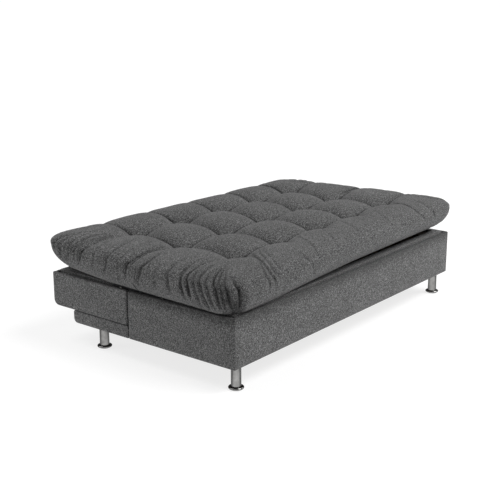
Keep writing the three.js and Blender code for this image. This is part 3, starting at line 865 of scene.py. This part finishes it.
def mattress_points(slab):
    """The finished mattress's points in mm, and the painted shade of its folds, seams and tufts at each."""
    x, y, z = slab.points.T
    normals = surface_normals(slab.points, slab.faces)
    height = slab.drop
    top = slab.kind <= UPPER_ROLL
    sink = np.where(top, tufting(x, y), 0) * smoothstep(*TUFTING_HEIGHT, height)
    folded, pinch_shade = gathered(slab)
    sink += folded
    sink += np.where(top, PUCKER * puckers(x, y), 0)
    places = zip(x / SWELL_SIZE, y / SWELL_SIZE)
    swell = np.array([noise.noise(Vector((a, b, 3.0))) for a, b in places])
    sink += np.where(top, SWELL * swell, 0)
    points = slab.points - normals * sink[:, None]
    points[:, 2] += settle(x, y, z)
    points[:, 0] += seam_shift(x, y) * smoothstep(*SHIFT_HEIGHT, height)
    points[:, 2] = np.maximum(points[:, 2], underside(x, y))
    return points, np.maximum(pinch_shade, np.where(top, seam_shade(x, y), 0))


# The drop in mm that each half's lining starts at; and each half's name, body, side of the fold and the
# nodes it hides.
LINING_START = -125.0
HALVES = (
    ("seat_cushion", "seat", -1, ("seat_mattress", "mattress_fold")),
    ("back_cushion", "back", 1, ("back_mattress",)),
)


def make_mattress(cloth, lining):
    """Both halves, each closed at the fold."""
    slab = Slab()
    points, pinch_shade = mattress_points(slab)
    centres = slab.points[slab.faces].mean(axis=1)
    for name, body, side, nodes in HALVES:
        chosen = slab.faces[centres[:, 1] * side > 0]
        used, faces = np.unique(chosen, return_inverse=True)
        faces = faces.reshape(-1, 4)
        own = points[used].copy()
        cap = fold_loop(faces)
        fold = np.abs(slab.points[used][:, 1]) < 1e-6
        own[fold, 1] += side * (FOLD_START + FOLD_GAP * smoothstep(*GAP_HEIGHTS, own[fold, 2]))
        under = (slab.kind[used] == FLAT_UNDER) & (slab.drop[used] < LINING_START)
        kinds = [1 if under[face].all() else 0 for face in faces] + [1]
        made = make_object(name, own * MM, [*faces.tolist(), cap], [cloth, lining], kinds,
                           flat_faces=[len(faces)], painted_shade=pinch_shade[used])
        sharpen_cap(made)
        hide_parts(*nodes)
        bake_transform(made)


def fold_loop(faces):
    """The open edge at the fold, in order, as one face."""
    edges = dict.fromkeys((a, b) for face in faces for a, b in zip(face, np.roll(face, -1)))
    after = {b: a for a, b in edges if (b, a) not in edges}
    first = next(iter(after))
    loop = [int(first)]
    while True:
        following = int(after[loop[-1]])
        if following == loop[0]:
            return loop
        loop.append(following)


def sharpen_cap(made):
    """Marks the last face's edges sharp."""
    mesh = made.data
    cap = set(mesh.polygons[len(mesh.polygons) - 1].edge_keys)
    for edge in mesh.edges:
        if edge.key in cap:
            edge.use_edge_sharp = True


# ---------------------------------------------------------------- upholstered boards
EDGE_STEPS = np.array([0, 0.3, 0.65, 1.0])


def axis_lines(low, high, radius, step):
    """Grid lines from low to high, closer together over the rounding at each end."""
    edge = radius * EDGE_STEPS
    count = max(2, round((high - low - 2 * radius) / step))
    middle = np.linspace(low + radius, high - radius, count + 1)[1:-1]
    return np.concatenate([low + edge, middle, (high - edge)[::-1]])


def box_grid(low, high, radius, step):
    """A closed box of quads with extra lines near its edges: (points, faces)."""
    axes = [axis_lines(low[k], high[k], radius, step) for k in range(3)]
    found, points, faces = {}, [], []

    def point(p):
        key = tuple(np.round(p, 7))
        if key not in found:
            found[key] = len(points)
            points.append(p)
        return found[key]

    for k in range(3):
        u, v = (k + 1) % 3, (k + 2) % 3
        for end in (0, -1):
            index = np.empty((len(axes[u]), len(axes[v])), int)
            for i, a in enumerate(axes[u]):
                for j, b in enumerate(axes[v]):
                    p = [0.0] * 3
                    p[k], p[u], p[v] = axes[k][end], a, b
                    index[i, j] = point(p)
            corners = [index[:-1, :-1], index[1:, :-1], index[1:, 1:], index[:-1, 1:]]
            quads = np.stack(corners, -1).reshape(-1, 4)
            faces.extend((quads if end else quads[:, ::-1]).tolist())
    return np.array(points), faces


def round_one_corner(points, low, high, side_y, side_z, radius):
    """Rounds one corner of the box's outline in the YZ plane."""
    y = side_y * points[:, 1] - (side_y * (high[1] if side_y > 0 else low[1]) - radius)
    z = side_z * points[:, 2] - (side_z * (high[2] if side_z > 0 else low[2]) - radius)
    both = (y > 0) & (z > 0)
    length = np.where(both, np.hypot(y, z), 1)
    pull = np.where(both, np.maximum(y, z) / length, 1)
    made = points.copy()
    made[:, 1] = np.where(both, made[:, 1] + side_y * y * (pull - 1), made[:, 1])
    made[:, 2] = np.where(both, made[:, 2] + side_z * z * (pull - 1), made[:, 2])
    return made


def rounded_edges(flat, low, high, radius, round_corner):
    """The box's points with its edges rounded, and one corner of its outline if round_corner is given."""
    points = flat
    inner = np.clip(points, low + radius, high - radius)
    if round_corner:
        side_y, side_z, reach = round_corner
        points = round_one_corner(flat, low, high, side_y, side_z, reach)
        inner = round_one_corner(inner, low + radius, high - radius, side_y, side_z, reach - radius)
    away = points - inner
    norm = np.maximum(np.linalg.norm(away, axis=1), 1e-9)
    return inner + away / norm[:, None] * np.minimum(radius, norm)[:, None]


def from_rim(points, low, high, axis):
    """How far each point is from the nearest side of the box, leaving out the sides across axis."""
    others = [k for k in range(3) if k != axis]
    return np.min([np.minimum(points[:, k] - low[k], high[k] - points[:, k]) for k in others], axis=0)


HEM = 28 * MM
MITRE_REACH = 40 * MM
WADDING_EDGE = 45 * MM
WADDING_LUMPS = 160 * MM
# How far down the box covers the painted shadow under the mattress's overhang reaches.
EDGE_BAND = 60 * MM


def soft_board(name, node, body, materials, outer, seed, radius=6.0, step=16.0, puff=2.0,
               mitre=(), round_corner=None, low=None, high=None, overhang_shade=0.0):
    """A board wrapped in cloth over thin wadding. radius, step and puff are in mm.

    outer is (axis, side) of its show face, and the face opposite is bare inside a hem. mitre lists
    the (axis, side) ends cut at 45 degrees. round_corner is (Y side, Z side, radius). low and high
    stand in for the node's own corners. The last argument sets the painted shadow along the cloth's top
    edge, under the mattress's overhang.
    """
    low = np.array(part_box(node)[0] if low is None else low)
    high = np.array(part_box(node)[1] if high is None else high)
    flat, faces = box_grid(low, high, radius * MM, step * MM)
    points = rounded_edges(flat, low, high, radius * MM, round_corner)
    axis, side = outer
    front, back = (high[axis], low[axis]) if side > 0 else (low[axis], high[axis])
    on_front = np.abs(flat[:, axis] - front) < 1e-6
    swell = smoothstep(0, WADDING_EDGE, from_rim(flat, low, high, axis)) * (puff * MM)
    swell = swell * (1 + 0.5 * lumps(flat, WADDING_LUMPS, seed))
    points[:, axis] += np.where(on_front, side * swell, 0)
    for end_axis, end_side in mitre:
        end = high[end_axis] if end_side > 0 else low[end_axis]
        near = 1 - np.clip(np.abs(flat[:, end_axis] - end) / MITRE_REACH, 0, 1)
        points[:, end_axis] -= end_side * np.abs(flat[:, axis] - front) * near
    centres = np.array([flat[face].mean(axis=0) for face in faces])
    bare = (np.abs(centres[:, axis] - back) < 1e-6) & (from_rim(centres, low, high, axis) > HEM)
    # Painted shadow: the cloth darkens towards its top edge, under the mattress's overhang.
    shade = overhang_shade * smoothstep(EDGE_BAND, 0, high[2] - points[:, 2])
    made = make_object(name, points, faces, materials, bare.astype(int), painted_shade=shade)
    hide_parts(node)
    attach(made, body)


SLOT = 2.8 * MM
# How dark the painted shadow under the mattress's overhang is at the covers' top edge.
OVERHANG_SHADE = 0.55
RAIL_CORNER = 22 * MM
BLOCK_CORNER = 28 * MM


# The way a cover's show face looks, or an end points: (axis, side).
LEFT, RIGHT = (0, -1), (0, 1)
FRONT, REAR, UNDER = (1, -1), (1, 1), (2, -1)


def make_boards(materials):
    """The covers. The end covers run on to the front, and stop short of the slot by the block."""
    front_low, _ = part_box("front_panel")
    soft_board("front_cover", "front_panel", "base", materials, FRONT, seed=2,
               mitre=(LEFT, RIGHT), overhang_shade=OVERHANG_SHADE)
    for side, outer in (("left", LEFT), ("right", RIGHT)):
        low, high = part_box(f"{side}_end_panel")
        soft_board(f"{side}_end_cover", f"{side}_end_panel", "base", materials, outer,
                   seed=3 + outer[1], mitre=(FRONT,), low=(low[0], front_low[1], low[2]),
                   high=(high[0], high[1] - SLOT, high[2]), overhang_shade=OVERHANG_SHADE)
        soft_board(f"{side}_low_rail_cover", f"{side}_low_rail", "base", materials, outer,
                   seed=6 + outer[1], puff=1.0, step=12.0, round_corner=(1, -1, RAIL_CORNER))
        low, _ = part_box(f"{side}_block_end_panel")
        soft_board(f"{side}_block_end_cover", f"{side}_block_end_panel", "back", materials, outer,
                   seed=9 + outer[1], round_corner=(1, -1, BLOCK_CORNER),
                   low=(low[0], low[1] + SLOT, low[2]))
    soft_board("block_rear_cover", "block_rear_panel", "back", materials, REAR, seed=12)
    soft_board("block_front_cover", "block_front_panel", "back", materials, FRONT, seed=13,
               radius=3.0, puff=1.0)
    soft_board("block_bottom_cover", "block_bottom_panel", "back", materials, UNDER, seed=14,
               radius=2.0, puff=0.5, step=24.0)
    soft_board("rear_board_cover", "rear_board", "base", materials, REAR, seed=15, radius=4.0, puff=1.0)
    soft_board("rear_cross_rail_cover", "rear_cross_rail", "base", materials, REAR, seed=16,
               puff=1.0, step=12.0)


# ---------------------------------------------------------------- legs
TUBE_RADIUS = 22.0
TUBE_WALL = 2.0
METAL_STEPS = 72
PLASTIC_STEPS = 56


def turned(name, profile, centre, steps, material):
    """A piece turned about the vertical line through centre; its profile is (radius, height) in mm."""
    x, y = centre
    angles = np.arange(steps) * 2 * np.pi / steps
    points, rings = [], []
    for radius, height in profile:
        if radius == 0:
            rings.append([len(points)] * steps)
            points.append((x, y, height * MM))
        else:
            rings.append(list(range(len(points), len(points) + steps)))
            reach = radius * MM
            points += [(x + reach * math.cos(a), y + reach * math.sin(a), height * MM) for a in angles]
    faces = []
    for lower, upper in zip(rings, rings[1:]):
        for i in range(steps):
            j = (i + 1) % steps
            corners = [lower[i], lower[j], upper[j], upper[i]]
            faces.append(list(dict.fromkeys(corners)))
    return make_object(name, points, faces, [material])


def measure(node):
    """A round node's middle in metres, and its radius, lowest and highest point in mm."""
    low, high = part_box(node)
    centre = ((low[0] + high[0]) / 2, (low[1] + high[1]) / 2)
    return centre, (high[0] - low[0]) / 2 / MM, low[2] / MM, high[2] / MM


def make_leg(name, chrome, plastic):
    tube, inner = TUBE_RADIUS, TUBE_RADIUS - TUBE_WALL
    centre, wide, base, top = measure(f"{name}_foot_flange")
    flange = [
        (0, base), (wide - 6, base), (wide - 3, base + 0.6), (wide - 1, base + 2), (wide, base + 4.2),
        (wide, base + 6), (wide - 0.7, base + 7.7), (wide - 2, base + 8.9), (wide - 3.6, top - 1.0),
        (wide - 5, top - 1.0), (tube + 3.5, top - 1.2), (tube + 1.2, top - 0.9), (tube + 0.6, top), (0, top),
    ]
    made = turned(f"{name}_flange", flange, centre, METAL_STEPS, chrome)
    finish_piece(made, "base", f"{name}_foot_flange")
    _, plate, base, top = measure(f"{name}_leg_tube")
    profile = [
        (0, top - 3), (inner, top - 3), (inner, base + 0.4), (inner + 0.4, base), (tube - 0.4, base),
        (tube, base + 0.4), (tube, base + 1.5), (tube, top - 6), (tube + 0.8, top - 4.2),
        (tube + 2.4, top - 3.2), (plate - 0.6, top - 3), (plate, top - 2.4), (plate, top - 0.4),
        (plate - 0.4, top), (0, top),
    ]
    made = turned(f"{name}_tube", profile, centre, METAL_STEPS, chrome)
    finish_piece(made, "base", f"{name}_leg_tube")
    _, reach, base, top = measure(f"{name}_glide")
    pad = [
        (0, base), (reach - 1, base), (reach, base + 0.7), (reach, top - 0.3), (reach - 0.4, top), (0, top),
    ]
    made = turned(f"{name}_pad", pad, centre, PLASTIC_STEPS, plastic)
    finish_piece(made, "base", f"{name}_glide")


def finish_piece(made, body, node):
    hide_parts(node)
    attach(made, body)


# ---------------------------------------------------------------- CAD pieces that stay
SIDES = ("left", "right")
ENDS = ("front", "rear")
HINGE_PARTS = ("base_bracket", "seat_hinge_arm", "back_hinge_arm", "ratchet_quadrant", "ratchet_pawl")
BOLTS = ("pivot_bolt", "seat_arm_bolt", "back_arm_bolt")


def paint(names, material):
    for name in names:
        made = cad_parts[name]
        made.data.materials.clear()
        made.data.materials.append(material)


def paint_frame(wood, rail_cloth, slat_wood, hinge, bolt):
    paint(["front_ledger", "storage_floor"], wood)
    paint([f"{row}_{end}_rail" for row in ("seat", "back") for end in ENDS], rail_cloth)
    paint([f"{row}_{side}_side_rail" for row in ("seat", "back") for side in SIDES], rail_cloth)
    paint([f"{end}_{side}_leg_block" for end in ENDS for side in SIDES], wood)
    paint(["seat_slats", "back_slats"], slat_wood)
    paint([f"{side}_{part}" for side in SIDES for part in HINGE_PARTS], hinge)
    paint([f"{side}_{part}" for side in SIDES for part in BOLTS], bolt)


# ---------------------------------------------------------------- build
ALONG_X, ALONG_Y = 0, 1
STAINED = ((0.05, 0.036, 0.026), (0.022, 0.015, 0.011))
BARE = ((0.5, 0.36, 0.22), (0.36, 0.24, 0.13))
COATED = ((0.12, 0.12, 0.125), (0.045, 0.046, 0.05))
BRIGHT = ((0.62, 0.6, 0.55), (0.4, 0.39, 0.36))


def main():
    make_camera()
    make_lights()
    make_floor()
    mattress_cloth = make_fabric("mattress_cloth", level=0.097, grain=195.0)
    box_cloth = make_fabric("upholstery_cloth", level=0.113, grain=250.0)
    lining = make_lining("under_lining")
    wood = make_wood("frame_wood_x", *STAINED, ALONG_X)
    rail_cloth = make_fabric("rail_cloth", level=0.15, grain=250.0, on_cad=True)
    slat_wood = make_wood("slat_wood", *STAINED, ALONG_Y)
    board = make_wood("bare_board", *BARE, ALONG_X)
    chrome = make_chrome("leg_chrome")
    hinge = make_steel("hinge_steel", *COATED, roughness=0.42, metallic=0.6)
    bolt = make_steel("bolt_steel", *BRIGHT, roughness=0.3, metallic=1.0)
    plastic = make_plastic("glide_plastic")
    make_mattress(mattress_cloth, lining)
    make_boards([box_cloth, board])
    for end in ENDS:
        for side in SIDES:
            make_leg(f"{end}_{side}", chrome, plastic)
    paint_frame(wood, rail_cloth, slat_wood, hinge, bolt)
    bpy.context.scene.view_settings.view_transform = "Standard"


main()
